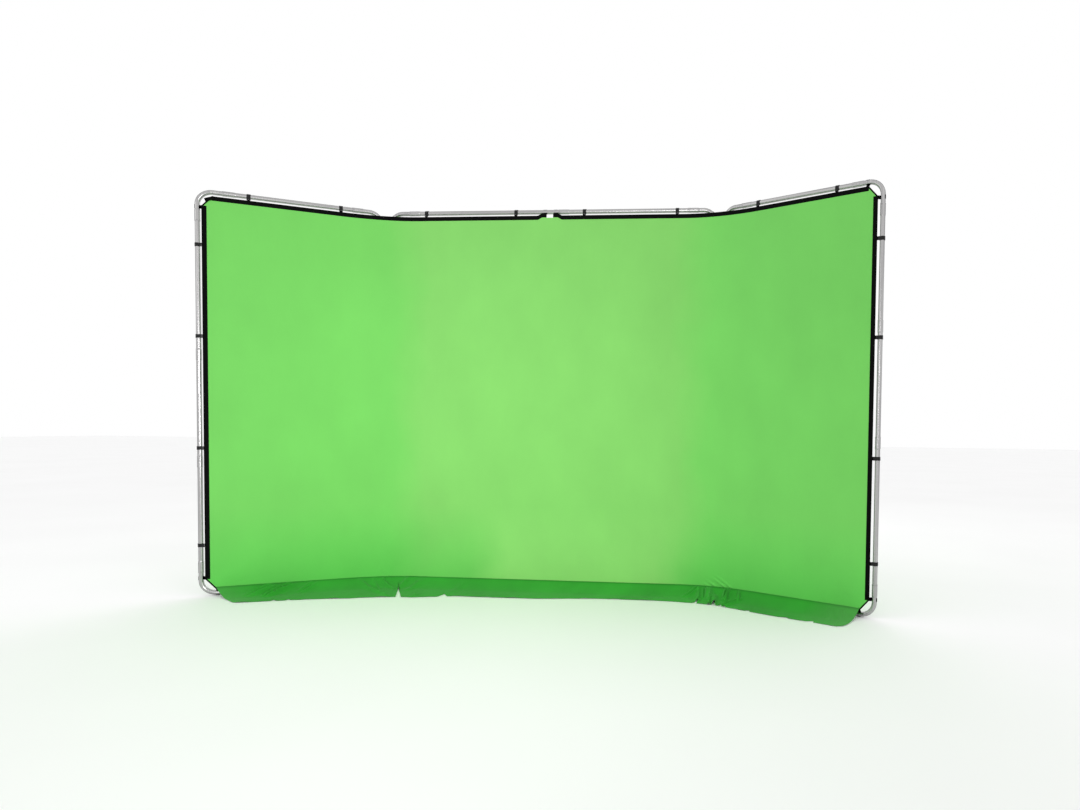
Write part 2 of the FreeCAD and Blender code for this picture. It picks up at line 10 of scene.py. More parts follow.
import bmesh
import bpy
import numpy as np
from mathutils import Matrix, Vector, noise
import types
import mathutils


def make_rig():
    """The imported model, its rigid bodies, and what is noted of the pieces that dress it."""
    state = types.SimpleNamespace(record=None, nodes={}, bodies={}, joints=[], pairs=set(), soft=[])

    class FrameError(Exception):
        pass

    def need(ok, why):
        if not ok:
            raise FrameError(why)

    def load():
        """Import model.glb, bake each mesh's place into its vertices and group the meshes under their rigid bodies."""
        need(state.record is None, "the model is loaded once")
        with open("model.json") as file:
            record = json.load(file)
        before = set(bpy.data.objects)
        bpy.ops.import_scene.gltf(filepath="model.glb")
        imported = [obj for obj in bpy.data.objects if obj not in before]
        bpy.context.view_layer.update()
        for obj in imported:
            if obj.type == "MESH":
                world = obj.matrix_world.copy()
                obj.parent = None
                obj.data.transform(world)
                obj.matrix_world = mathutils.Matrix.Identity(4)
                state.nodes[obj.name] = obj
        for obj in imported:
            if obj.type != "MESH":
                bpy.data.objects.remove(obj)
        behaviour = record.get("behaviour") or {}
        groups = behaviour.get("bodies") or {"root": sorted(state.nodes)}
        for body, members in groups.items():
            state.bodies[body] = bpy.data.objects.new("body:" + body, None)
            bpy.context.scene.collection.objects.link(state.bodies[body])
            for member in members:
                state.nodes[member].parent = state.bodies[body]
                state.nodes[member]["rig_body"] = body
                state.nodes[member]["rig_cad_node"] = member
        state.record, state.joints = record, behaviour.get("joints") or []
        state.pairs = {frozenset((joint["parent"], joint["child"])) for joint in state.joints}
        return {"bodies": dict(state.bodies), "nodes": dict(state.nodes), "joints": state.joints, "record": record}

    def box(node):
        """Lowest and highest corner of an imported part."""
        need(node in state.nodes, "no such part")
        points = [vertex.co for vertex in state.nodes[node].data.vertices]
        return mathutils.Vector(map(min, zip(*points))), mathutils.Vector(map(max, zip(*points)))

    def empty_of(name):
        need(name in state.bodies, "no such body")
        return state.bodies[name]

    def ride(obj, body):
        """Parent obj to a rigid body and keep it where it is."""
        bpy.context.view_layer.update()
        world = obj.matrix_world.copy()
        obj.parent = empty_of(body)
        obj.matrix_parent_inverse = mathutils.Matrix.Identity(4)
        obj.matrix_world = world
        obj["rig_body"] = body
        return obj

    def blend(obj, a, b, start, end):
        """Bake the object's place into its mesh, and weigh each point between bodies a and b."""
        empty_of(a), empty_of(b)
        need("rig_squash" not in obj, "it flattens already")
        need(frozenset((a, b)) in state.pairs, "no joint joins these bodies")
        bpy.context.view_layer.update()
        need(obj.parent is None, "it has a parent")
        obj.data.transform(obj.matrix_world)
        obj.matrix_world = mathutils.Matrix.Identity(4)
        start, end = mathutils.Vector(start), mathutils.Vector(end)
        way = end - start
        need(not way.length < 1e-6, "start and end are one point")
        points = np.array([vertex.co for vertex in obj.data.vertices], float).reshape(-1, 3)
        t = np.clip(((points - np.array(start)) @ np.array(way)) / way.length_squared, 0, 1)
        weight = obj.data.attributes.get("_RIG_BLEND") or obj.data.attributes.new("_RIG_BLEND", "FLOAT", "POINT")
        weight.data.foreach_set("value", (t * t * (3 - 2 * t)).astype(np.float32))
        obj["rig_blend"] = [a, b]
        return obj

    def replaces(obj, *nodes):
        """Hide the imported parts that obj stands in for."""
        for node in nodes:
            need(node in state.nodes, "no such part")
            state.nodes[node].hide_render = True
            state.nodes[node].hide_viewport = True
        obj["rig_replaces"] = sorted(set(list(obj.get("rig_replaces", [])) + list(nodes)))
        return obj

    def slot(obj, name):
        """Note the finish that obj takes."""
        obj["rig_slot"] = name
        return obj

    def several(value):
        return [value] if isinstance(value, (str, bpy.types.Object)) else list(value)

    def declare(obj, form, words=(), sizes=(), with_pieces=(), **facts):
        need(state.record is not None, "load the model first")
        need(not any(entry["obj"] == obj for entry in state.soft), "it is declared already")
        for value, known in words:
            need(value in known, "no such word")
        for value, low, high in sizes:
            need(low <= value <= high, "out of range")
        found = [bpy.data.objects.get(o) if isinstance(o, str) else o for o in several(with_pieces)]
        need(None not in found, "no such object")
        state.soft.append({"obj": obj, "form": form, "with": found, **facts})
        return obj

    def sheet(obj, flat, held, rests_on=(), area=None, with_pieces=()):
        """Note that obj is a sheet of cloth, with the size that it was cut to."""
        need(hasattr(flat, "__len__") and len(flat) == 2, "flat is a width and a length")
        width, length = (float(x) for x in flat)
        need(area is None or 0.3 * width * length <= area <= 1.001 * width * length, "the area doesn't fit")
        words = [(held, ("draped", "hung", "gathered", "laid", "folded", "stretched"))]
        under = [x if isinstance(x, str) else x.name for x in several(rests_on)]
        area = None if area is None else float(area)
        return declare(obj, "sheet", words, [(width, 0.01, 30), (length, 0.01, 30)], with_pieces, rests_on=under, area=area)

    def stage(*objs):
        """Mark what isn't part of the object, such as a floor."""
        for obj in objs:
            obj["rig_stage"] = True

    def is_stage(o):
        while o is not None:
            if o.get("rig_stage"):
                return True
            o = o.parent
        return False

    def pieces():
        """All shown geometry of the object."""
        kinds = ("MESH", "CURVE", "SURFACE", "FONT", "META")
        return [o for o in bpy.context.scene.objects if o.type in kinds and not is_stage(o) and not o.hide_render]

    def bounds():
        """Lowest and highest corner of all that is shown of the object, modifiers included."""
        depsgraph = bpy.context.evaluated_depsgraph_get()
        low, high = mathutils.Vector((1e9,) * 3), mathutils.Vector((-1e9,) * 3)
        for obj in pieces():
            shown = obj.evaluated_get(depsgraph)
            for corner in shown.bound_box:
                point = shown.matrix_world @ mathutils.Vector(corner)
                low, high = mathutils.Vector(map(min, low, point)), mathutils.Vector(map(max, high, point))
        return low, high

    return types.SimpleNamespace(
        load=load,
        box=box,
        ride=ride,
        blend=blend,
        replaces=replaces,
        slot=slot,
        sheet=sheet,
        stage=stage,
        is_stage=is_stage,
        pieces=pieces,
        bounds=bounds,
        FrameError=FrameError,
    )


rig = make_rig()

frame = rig.load()
CAD_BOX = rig.bounds()


# ---- places taken from the frame ----------------------------------------------------------
def middle(node):
    low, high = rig.box(node)
    return (low + high) / 2


SIDES = {"left": -1, "right": 1}
HINGE = next(joint for joint in frame["joints"] if joint["child"] == "right_wing")
PIN_X, PIN_Y = HINGE["pos_m"][0], HINGE["pos_m"][1]
OUTER_AXIS = middle("right_wing_outer_upright_middle")
LEAN = math.atan2(PIN_Y - OUTER_AXIS.y, OUTER_AXIS.x - PIN_X)      # how far the wings stand forward
OUTER_U = math.hypot(PIN_Y - OUTER_AXIS.y, OUTER_AXIS.x - PIN_X)   # from the hinge to the outer upright
CENTRE_UPRIGHT = middle("centre_right_upright_middle").x
BAR_LOW = middle("centre_bottom_bar_left").z
BAR_HIGH = middle("centre_top_bar_left").z
CLOTH_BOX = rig.box("centre_cloth")
CLOTH_DEPTH = PIN_Y - (CLOTH_BOX[0].y + CLOTH_BOX[1].y) / 2
CLOTH_LOW, CLOTH_TOP = CLOTH_BOX[0].z, CLOTH_BOX[1].z

# ---- sizes --------------------------------------------------------------------------------
TUBE_R = 0.0127
CLOTH_THICK = 0.0008
TAPE_WIDTH, TAPE_THICK = 0.025, 0.0029
TAPE_PAST_CLOTH = 0.005                  # the cloth's edge lies this far inside the folded tape
TAPE_TOP, TAPE_LOW = CLOTH_TOP + TAPE_PAST_CLOTH, CLOTH_LOW - TAPE_PAST_CLOTH
TAPE_FROM_UPRIGHT = 0.021                # from the tape's outer edge to the outer upright's axis
TAPE_SIDE = OUTER_U - TAPE_FROM_UPRIGHT
CLOTH_SIDE = TAPE_SIDE - TAPE_PAST_CLOTH
CUT_ALONG, CUT_UP = 0.050, 0.058         # the cut corners, measured on the tape's edge
PIPING_WIDTH, PIPING_THICK = 0.008, 0.0031
TOP_GAP, GAP_NOTCH = 0.040, 0.013        # opening in the top tape, and the cloth's notch in it
TAPE_RISE = 0.014                        # the tape's two ends beside the opening are drawn up to the tube
RISE_ENDS, RISE_STARTS = 0.024, 0.058    # from the opening's edge
TAIL_LENGTH, TAIL_SEWN, TAIL_WIDE = 0.036, 0.012, 0.020     # free strap end at the left wing's top corner
TAIL_THICK, TAIL_DROOP = 0.0012, math.radians(22)
STRAP_THICK, STRAP_WIDE, LOOP_WIDE = 0.0009, 0.014, 0.020
OUTER_HOOK_HEIGHTS = (0.292, 0.845, 1.475, 1.985)
WING_BAR_HOOKS = (0.250, 0.730)          # from the outer upright
CENTRE_BAR_HOOKS = (0.210, 0.770)
LOOP_FROM_CORNER = (0.082, 0.088)        # along a bar, and along an outer upright
LOOP_FROM_MIDDLE = 0.033
BEND_R, BEND_LOOP_WIDE = 0.075, 0.010    # the centre frame's bends, and the loops round them
LOOP_ARC = (5, 205)                      # degrees round the tube, from the cloth's side over the back

TURN_ON_CENTRE, TURN_ON_WING = 0.22, 0.26    # where the cloth leaves each panel's plane, from the corner
HANDLES_TAUT = (0.185, 0.125)            # how long it holds to each plane: at the taut top and bottom
HANDLES_SLACK = (0.120, 0.150)           # and half way up
CLOTH_BLEND, SKIRT_BLEND = 0.06, 0.17    # half widths of the zones that bend at the hinge

SKIRT_THICK = 0.0008
FLOOR_CLEARANCE = 0.0002
SKIRT_TOP, SKIRT_LIES = 0.0505, 0.0007   # heights of its middle layer at the seam and on the floor
SKIRT_PAST_CLOTH = 0.0022                # its seam is this far in front of the cloth
SKIRT_DRAPE = 0.150                      # how far in front of its seam the skirt reaches the floor
# Its free edge: (distance from the middle along the cloth, reach in front of the tubes) from the
# middle outwards, and the end's distance from the outer upright, at the seam and in front.
HEM = {
    "left": ((0.0, 0.298), (0.52, 0.302), (0.80, 0.365), (1.13, 0.368), (1.38, 0.316), (1.74, 0.269),
             (1.84, 0.250)),
    "right": ((0.0, 0.298), (0.38, 0.247), (0.85, 0.252), (1.20, 0.268), (1.50, 0.275), (1.96, 0.260)),
}
SKIRT_END = {"left": (0.074, 0.176), "right": (0.074, 0.066)}
SKIRT_END_SLANT = 0.22                   # how far in front of the seam the slanted end goes
HEM_CORNER = {"left": 0.025, "right": 0.055}
NOTCH = (0.862, 0.007, 0.022, 0.225)     # the slit beside the left hinge: place, its two sides, depth
NOTCH_LEAN = 0.075                       # how far its folds run outwards on their way to the seam
NOTCH_LEAN_REACH = 0.21                  # over what distance on either side of it
NICK = (0.602, 0.028, 0.028, 0.062)
# Notches and dips in the free edge: place, its two sides, depth.
HEM_CUTS = {
    "left": (NOTCH, NICK, (1.513, 0.018, 0.014, 0.020), (1.600, 0.022, 0.014, 0.022)),
    "right": ((0.978, 0.014, 0.010, 0.070), (1.086, 0.010, 0.012, 0.060), (1.132, 0.010, 0.009, 0.045),
              (1.345, 0.030, 0.008, 0.022), (1.600, 0.050, 0.012, 0.014), (1.760, 0.040, 0.010, 0.026)),
}
# The skirt's folds: start and end as (run length, distance in front of the seam), half width, height.
SKIRT_FOLDS = {
    "left": (
        ((1.170, 0.005), (0.915, 0.330), 0.016, 0.017),      # to the slit
        ((1.090, 0.004), (0.950, 0.240), 0.013, 0.009),
        ((1.015, 0.004), (0.885, 0.150), 0.013, 0.014),
        ((0.810, 0.004), (0.862, 0.140), 0.012, 0.013),
        ((0.735, 0.010), (0.830, 0.190), 0.013, 0.012),
        ((0.765, 0.240), (0.790, 0.345), 0.012, 0.010),
        ((0.520, 0.020), (0.590, 0.260), 0.020, 0.006),
    ),
    "right": (
        ((0.926, 0.012), (0.990, 0.230), 0.011, 0.020),      # the bunch beside the hinge
        ((0.985, 0.012), (1.050, 0.190), 0.024, 0.030),
        ((1.050, 0.070), (1.108, 0.300), 0.011, 0.018),
        ((1.117, 0.002), (1.126, 0.150), 0.010, 0.026),
        ((1.185, 0.004), (1.224, 0.130), 0.010, 0.018),
        ((1.790, 0.020), (1.850, 0.230), 0.022, 0.008),      # at the outer end
        ((1.860, 0.030), (1.900, 0.200), 0.018, 0.007),
    ),
}
# Its creases, each a furrow between two banks: start, end, from the furrow to a bank, height of a bank.
SKIRT_CREASES = {
    "left": (
        ((1.567, 0.005), (1.732, 0.112), 0.010, 0.021),
        ((1.493, 0.006), (1.654, 0.150), 0.011, 0.026),
        ((1.400, 0.004), (1.470, 0.110), 0.012, 0.010),
    ),
    "right": (
        ((0.926, -0.005), (0.880, 0.130), 0.010, 0.012),
        ((0.960, 0.005), (1.002, 0.150), 0.010, 0.014),
        ((1.030, 0.100), (1.090, 0.300), 0.010, 0.014),
        ((1.097, 0.000), (1.120, 0.130), 0.010, 0.014),
        ((1.222, 0.060), (1.130, 0.300), 0.011, 0.015),
    ),
}

CLOTH_GREEN = (0.170, 0.590, 0.109)
# Painted light: the paler middle of the cloth stands in for the front light falling most on the centre panel.
LIT_MIDDLE_GREEN = (0.212, 0.590, 0.126)     # the middle of the cloth is a little paler
# Painted light and shade near the floor: the centre's foot is painted paler and the wings' feet darker and deeper
# green, standing in for how the light falls there.
FOOT_LIGHT_AND_SHADE = ((1.22, 1.13, 1.22), (0.70, 1.00, 0.80))   # times the cloth's colour: middle and ends
FOOT_MIDDLE = 0.2                        # the paler foot is a little right of the middle
FOOT_BAND = (0.47, 0.73)                 # where the tint changes, as distances from the foot's middle
FOOT_HEIGHTS = (0.06, 0.50)              # the tint is whole below, and gone above
# Painted shade: the skirt's greens are darker than the cloth's, standing in for the skirt lying flat out of the front
# light.
SKIRT_GREEN = (0.034, 0.345, 0.030)
SKIRT_END_GREEN = (0.075, 0.370, 0.064)  # its outer ends are paler


# ---- the run of the cloth -----------------------------------------------------------------
ACROSS = Vector((1, 0))
AWAY = Vector((math.cos(LEAN), -math.sin(LEAN)))
WING_FRONT = Vector((-math.sin(LEAN), -math.cos(LEAN)))


def corner_shift(depth):
    """How far the panels' front planes at a depth meet from the hinge, along each panel."""
    return depth * math.tan(LEAN / 2)


def centre_column(x, depth):
    """Column of a distance x from the middle on the centre panel."""
    return x / (PIN_X - corner_shift(depth) - TURN_ON_CENTRE)


def wing_column(u, depth):
    """Column of a distance u from the hinge along the wing."""
    start = corner_shift(depth) + TURN_ON_WING
    return 2 + (u - start) / (OUTER_U - start)


def run_point(side, column, depth, z, slack=0.0):
    """Columns 0 to 1 lie on the centre panel, 1 to 2 go round the turn and 2 to 3 lie on the wing."""
    corner = Vector((PIN_X - corner_shift(depth), PIN_Y - depth))
    start = corner - ACROSS * TURN_ON_CENTRE
    end = corner + AWAY * TURN_ON_WING
    if column <= 1:
        spot = Vector((start.x * column, start.y))
    elif column >= 2:
        reach = OUTER_U - corner_shift(depth) - TURN_ON_WING
        spot = end + AWAY * reach * (column - 2)
    else:
        taut = 1 - slack
        first = HANDLES_TAUT[0] * taut + HANDLES_SLACK[0] * slack
        last = HANDLES_TAUT[1] * taut + HANDLES_SLACK[1] * slack
        t = column - 1
        near, far = start + ACROSS * first, end - AWAY * last
        spot = (start * (1 - t) ** 3 + near * (3 * t * (1 - t) ** 2)
                + far * (3 * t * t * (1 - t)) + end * t ** 3)
    return Vector((side * spot.x, spot.y, z))


def wing_point(side, u, depth, z):
    spot = Vector((PIN_X, PIN_Y)) + AWAY * u + WING_FRONT * depth
    return Vector((side * spot.x, spot.y, z))


def run_length(column):
    """Rough distance along the cloth of a column, for its weave and the places of its folds."""
    turn = TURN_ON_CENTRE + TURN_ON_WING
    lengths = (PIN_X - TURN_ON_CENTRE, turn, OUTER_U - TURN_ON_WING)
    whole = min(int(column), 2)
    return sum(lengths[:whole]) + lengths[whole] * (column - whole)


def column_at(along):
    """The column between 1 and 2 that lies a distance along the cloth."""
    return 1 + (along - PIN_X + TURN_ON_CENTRE) / (TURN_ON_CENTRE + TURN_ON_WING)


def slack_at(z):
    """0 at the taut top and bottom edges, 1 half way up."""
    share = (z - CLOTH_LOW) / (CLOTH_TOP - CLOTH_LOW)
    return max(0.0, math.sin(math.pi * min(max(share, 0), 1))) ** 0.8


def smooth(value, low, high):
    """0 up to low, 1 from high on, and an S-shaped rise between."""
    t = min(max((value - low) / (high - low), 0.0), 1.0)
    return t * t * (3 - 2 * t)


def spaced(low, high, step):
    """Evenly spaced places from low to high, about a step apart."""
    count = max(1, round((high - low) / step))
    return [low + (high - low) * i / count for i in range(count + 1)]


# ---- mesh helpers -------------------------------------------------------------------------
def link(name, points, faces, uvs, material, shade=True):
    """New mesh object; uvs gives each point's place on the flat cloth, in metres."""
    mesh = bpy.data.meshes.new(name)
    mesh.from_pydata([tuple(p) for p in points], [], faces)
    layer = mesh.uv_layers.new(name="weave")
    for loop in mesh.loops:
        layer.data[loop.index].uv = uvs[loop.vertex_index]
    mesh.polygons.foreach_set("use_smooth", [shade] * len(mesh.polygons))
    mesh.materials.append(material)
    mesh.validate()
    obj = bpy.data.objects.new(name, mesh)
    bpy.context.scene.collection.objects.link(obj)
    return obj


def solidified(obj, thickness, offset=0.0):
    """Gives a sheet its thickness, applied to the mesh."""
    modifier = obj.modifiers.new("thickness", "SOLIDIFY")
    modifier.thickness = thickness
    modifier.offset = offset
    modifier.use_even_offset = True
    bpy.context.view_layer.update()
    solid = bpy.data.meshes.new_from_object(obj.evaluated_get(bpy.context.evaluated_depsgraph_get()))
    for vertex in solid.vertices:
        vertex.co.z = max(vertex.co.z, FLOOR_CLEARANCE)
    solid.set_sharp_from_angle(angle=math.radians(50))
    obj.modifiers.clear()
    obj.data = solid
    return obj


def grid(name, rows, uvs, material, thickness):
    """Sheet from rows of points, all of one length, made solid."""
    count = len(rows[0])
    points = [p for row in rows for p in row]
    flat = [uv for row in uvs for uv in row]
    faces = []
    for j in range(len(rows) - 1):
        for i in range(count - 1):
            a = j * count + i
            faces.append((a, a + 1, a + count + 1, a + count))
    return solidified(link(name, points, faces, flat, material), thickness)


def rounded_section(width, thick, radius, steps=3):
    """Outline of a flat strap: a rectangle with round corners, as (across, through) pairs."""
    outline = []
    for x_sign, y_sign, start in ((1, 1, 0), (-1, 1, 90), (-1, -1, 180), (1, -1, 270)):
        for i in range(steps + 1):
            angle = math.radians(start + 90 * i / steps)
            outline.append((x_sign * (width / 2 - radius) + radius * math.cos(angle),
                            y_sign * (thick / 2 - radius) + radius * math.sin(angle)))
    return outline


class Strips:
    """Collects swept straps, and makes them into one mesh with a flat place for every point."""

    def __init__(self):
        self.points, self.faces, self.uvs = [], [], []

    def add(self, stations, section, lengths):
        """stations is a list of functions from (across, through) to a point; lengths their places along."""
        base, count = len(self.points), len(section)
        for station, along in zip(stations, lengths):
            for across, through in section:
                self.points.append(station(across, through))
                self.uvs.append((along, across))
        for j in range(len(stations) - 1):
            for i in range(count):
                a, b = base + j * count + i, base + j * count + (i + 1) % count
                self.faces.append((a, b, b + count, a + count))
        last = base + (len(stations) - 1) * count
        self.faces.append(tuple(range(base + count - 1, base - 1, -1)))
        self.faces.append(tuple(range(last, last + count)))

    def make(self, name, material):
        obj = link(name, self.points, self.faces, self.uvs, material)
        outward(obj)
        return obj


def outward(obj):
    """Turns every face's normal outward."""
    work = bmesh.new()
    work.from_mesh(obj.data)
    bmesh.ops.recalc_face_normals(work, faces=work.faces)
    work.to_mesh(obj.data)
    work.free()


# ---- materials ----------------------------------------------------------------------------
class Nodes:
    """Short forms for building a node material."""

    def __init__(self, name):
        self.material = bpy.data.materials.new(name)
        self.material.use_nodes = True
        self.tree = self.material.node_tree
        self.tree.nodes.clear()
        self.output = self.add("ShaderNodeOutputMaterial")
        self.shader = self.add("ShaderNodeBsdfPrincipled")
        self.join(self.shader.outputs[0], self.output.inputs[0])

    def add(self, kind, **settings):
        node = self.tree.nodes.new(kind)
        for key, value in settings.items():
            setattr(node, key, value)
        return node

    def join(self, source, target):
        self.tree.links.new(source, target)

    def place(self, where, scale):
        """Texture place: a coordinate output, scaled."""
        mapping = self.add("ShaderNodeMapping")
        mapping.inputs["Scale"].default_value = scale
        self.join(where, mapping.inputs["Vector"])
        return mapping.outputs[0]

    def uv(self):
        return self.add("ShaderNodeUVMap", uv_map="weave").outputs[0]

    def solid(self):
        return self.add("ShaderNodeTexCoord").outputs["Object"]

    def noise(self, where, scale, detail=3.0, rough=0.5):
        node = self.add("ShaderNodeTexNoise")
        node.inputs["Scale"].default_value = scale
        node.inputs["Detail"].default_value = detail
        node.inputs["Roughness"].default_value = rough
        self.join(where, node.inputs["Vector"])
        return node.outputs["Fac"]

    def wave(self, where, scale, direction, distortion=0.0):
        node = self.add("ShaderNodeTexWave", bands_direction=direction)
        node.inputs["Scale"].default_value = scale
        node.inputs["Distortion"].default_value = distortion
        node.inputs["Detail"].default_value = 0
        self.join(where, node.inputs["Vector"])
        return node.outputs["Fac"]

    def ramp(self, source, stops):
        """Colour ramp; stops are (position, colour) pairs."""
        node = self.add("ShaderNodeValToRGB")
        band = node.color_ramp
        while len(band.elements) < len(stops):
            band.elements.new(0.5)
        for element, (position, colour) in zip(band.elements, stops):
            element.position = position
            element.color = (*colour, 1)
        self.join(source, node.inputs[0])
        return node.outputs[0]

    def span(self, source, low, high):
        """Maps 0..1 to low..high."""
        node = self.add("ShaderNodeMapRange")
        node.inputs["To Min"].default_value = low
        node.inputs["To Max"].default_value = high
        self.join(source, node.inputs["Value"])
        return node.outputs[0]

    def calc(self, first, second=0.0, operation="ADD"):
        """Math on an output and a number or a second output."""
        node = self.add("ShaderNodeMath", operation=operation)
        self.join(first, node.inputs[0])
        if isinstance(second, (int, float)):
            node.inputs[1].default_value = second
        else:
            self.join(second, node.inputs[1])
        return node.outputs[0]

    def times(self, colour, shade, share=None):
        """A colour times a shade, or nearer to the plain colour where share is under 1."""
        node = self.add("ShaderNodeMix", data_type="RGBA", blend_type="MULTIPLY")
        node.inputs["Factor"].default_value = 1.0
        if share is not None:
            self.join(share, node.inputs["Factor"])
        self.join(colour, node.inputs["A"])
        self.join(shade, node.inputs["B"])
        return node.outputs["Result"]

    def bump(self, height, distance, strength=1.0, below=None):
        node = self.add("ShaderNodeBump")
        node.inputs["Distance"].default_value = distance
        node.inputs["Strength"].default_value = strength
        self.join(height, node.inputs["Height"])
        if below is not None:
            self.join(below, node.inputs["Normal"])
        return node.outputs[0]

    def finish(self, colour, rough, normal=None, **fixed):
        self.join(colour, self.shader.inputs["Base Color"])
        self.join(rough, self.shader.inputs["Roughness"])
        if normal is not None:
            self.join(normal, self.shader.inputs["Normal"])
        for key, value in fixed.items():
            self.shader.inputs[key.replace("_", " ")].default_value = value
        return self.material


def tinted(colour, factor):
    return tuple(min(1.0, c * factor) for c in colour)


RAMP_REACH = 2.5     # a colour ramp takes places from 0 to 1, so distances are divided by this
WANDER = 0.3         # how much a noise adds to a distance, so that a band of colour isn't straight


def ramp_stops(band, colours):
    """Ramp stops for colours at distances that a noise has made longer, by half of WANDER on average."""
    return [((distance + WANDER / 2) / RAMP_REACH, colour) for distance, colour in zip(band, colours)]


def cloth_material(name, inner, outer, band, mottling, sheen, seam=1.0, foot=None):
    """Brushed polyester: a fine plain weave under a soft nap, with slow changes of shade.

    The colour changes from inner to outer over a band of distances from the middle; on the cloth the
    paler inner colour is painted light.  seam is the shade of a painted shadow along the folded edge
    that is sewn down.  foot holds two factors of painted light and shade for the lowest half metre:
    one in the middle and one towards the ends.
    """
    n = Nodes(name)
    uv = n.uv()
    warp = n.wave(uv, 260, "X")
    weft = n.wave(uv, 260, "Y")
    weave = n.calc(warp, weft, "MULTIPLY")
    nap = n.noise(uv, 900, detail=2)
    clouds = n.noise(n.place(uv, (1, 0.6, 1)), 3.5, detail=4)
    split = n.add("ShaderNodeSeparateXYZ")
    n.join(uv, split.inputs[0])
    wander = n.calc(n.noise(uv, 2.0, detail=2), WANDER, "MULTIPLY")
    from_middle = n.calc(n.calc(split.outputs[0], operation="ABSOLUTE"), wander)
    base = n.ramp(n.calc(from_middle, 1 / RAMP_REACH, "MULTIPLY"), ramp_stops(band, (inner, outer)))
    shade = n.ramp(clouds, [(0.25, (1 - mottling,) * 3), (0.75, (1 + mottling,) * 3)])
    fibres = n.ramp(n.calc(weave, nap), [(0.3, (0.90, 0.90, 0.90)), (1.2, (1.0, 1.0, 1.0))])
    # Painted shadow: the folded ramp darkens a narrow line along the seam, where shade falls under the cloth's edge.
    from_seam = n.calc(split.outputs[1], operation="ABSOLUTE")
    folded = n.ramp(from_seam, [(0.0, (seam,) * 3), (0.018, (1.0, 1.0, 1.0))])
    dye_and_painted_shading = n.times(n.times(n.times(base, shade), fibres), folded)
    # Painted light and shade near the floor: paler at the centre's foot, darker and deeper green at the wings' feet.
    if foot:
        aside = n.calc(n.calc(split.outputs[0], -FOOT_MIDDLE), operation="ABSOLUTE")
        aside = n.calc(aside, wander)
        foot_light_shade = n.ramp(n.calc(aside, 1 / RAMP_REACH, "MULTIPLY"), ramp_stops(FOOT_BAND, foot))
        share = n.ramp(split.outputs[1], list(zip(FOOT_HEIGHTS, ((1.0,) * 3, (0.0,) * 3))))
        dye_and_painted_shading = n.times(dye_and_painted_shading, foot_light_shade, share)
    rough = n.span(nap, 0.78, 0.95)
    normal = n.bump(n.calc(weave, nap), 0.00018, 0.6)
    return n.finish(dye_and_painted_shading, rough, normal, Sheen_Weight=sheen, Sheen_Roughness=0.5,
                    Specular_IOR_Level=sheen)


def webbing_material(name, stitch_rows):
    """Black woven tape: diagonal ribs, a selvedge, and rows of lock stitch where stitch_rows says."""
    n = Nodes(name)
    uv = n.uv()
    split = n.add("ShaderNodeSeparateXYZ")
    n.join(uv, split.inputs[0])
    along, across = split.outputs[0], split.outputs[1]
    chevron = n.add("ShaderNodeCombineXYZ")
    n.join(n.calc(along, n.calc(across, operation="ABSOLUTE")), chevron.inputs[0])
    n.join(across, chevron.inputs[1])
    ribs = n.wave(chevron.outputs[0], 210, "X")
    picks = n.wave(uv, 420, "Y")
    weave = n.calc(ribs, n.calc(picks, 0.4, "MULTIPLY"))
    height, stitches = weave, None
    for row in stitch_rows:
        offset = n.calc(n.calc(across, -row), operation="ABSOLUTE")
        near = n.calc(offset, 0.00045, "LESS_THAN")
        dash = n.calc(n.wave(uv, 62, "X"), 0.28, "GREATER_THAN")
        thread = n.calc(near, dash, "MULTIPLY")
        stitches = thread if stitches is None else n.calc(stitches, thread, "MAXIMUM")
    fuzz = n.noise(uv, 700, detail=2)
    colour = n.ramp(n.calc(n.calc(weave, 0.5, "MULTIPLY"), fuzz, "MULTIPLY"),
                    [(0.05, (0.0008, 0.0008, 0.0009)), (0.75, (0.0035, 0.0035, 0.004))])
    if stitches is not None:
        mix = n.add("ShaderNodeMix", data_type="RGBA")
        n.join(stitches, mix.inputs["Factor"])
        n.join(colour, mix.inputs["A"])
        mix.inputs["B"].default_value = (0.010, 0.010, 0.011, 1)
        colour = mix.outputs["Result"]
        height = n.calc(weave, n.calc(stitches, 1.5, "MULTIPLY"))
    rough = n.span(fuzz, 0.62, 0.82)
    return n.finish(colour, rough, n.bump(height, 0.0002, 0.8), Specular_IOR_Level=0.06)


def aluminium_material(name, heading):
    """Drawn tube: bright, with fine lines along its axis and a few rubbed and dull patches.

    heading is the angle of a level tube's axis, or None for an upright tube.
    """
    n = Nodes(name)
    turn = n.add("ShaderNodeVectorRotate", rotation_type="Z_AXIS")
    turn.inputs["Angle"].default_value = heading or 0.0
    n.join(n.solid(), turn.inputs["Vector"])
    stretch = (1, 1, 0.012) if heading is None else (0.012, 1, 1)
    lines = n.noise(n.place(turn.outputs[0], stretch), 900, detail=2)
    draw = n.noise(n.place(turn.outputs[0], stretch), 160, detail=3)
    patches = n.noise(n.solid(), 9, detail=5, rough=0.6)
    marks = n.noise(n.place(turn.outputs[0], (1, 1, 1)), 55, detail=6, rough=0.7)
    colour = n.ramp(draw, [(0.3, (0.36, 0.355, 0.36)), (0.7, (0.52, 0.515, 0.51))])
    wear = n.calc(n.calc(patches, marks, "MULTIPLY"), n.calc(lines, 0.25, "MULTIPLY"))
    rough = n.span(wear, 0.08, 0.50)
    return n.finish(colour, rough, n.bump(lines, 0.00003, 0.5), Metallic=1.0,
                    Specular_Tint=(0.15, 0.15, 0.16, 1))


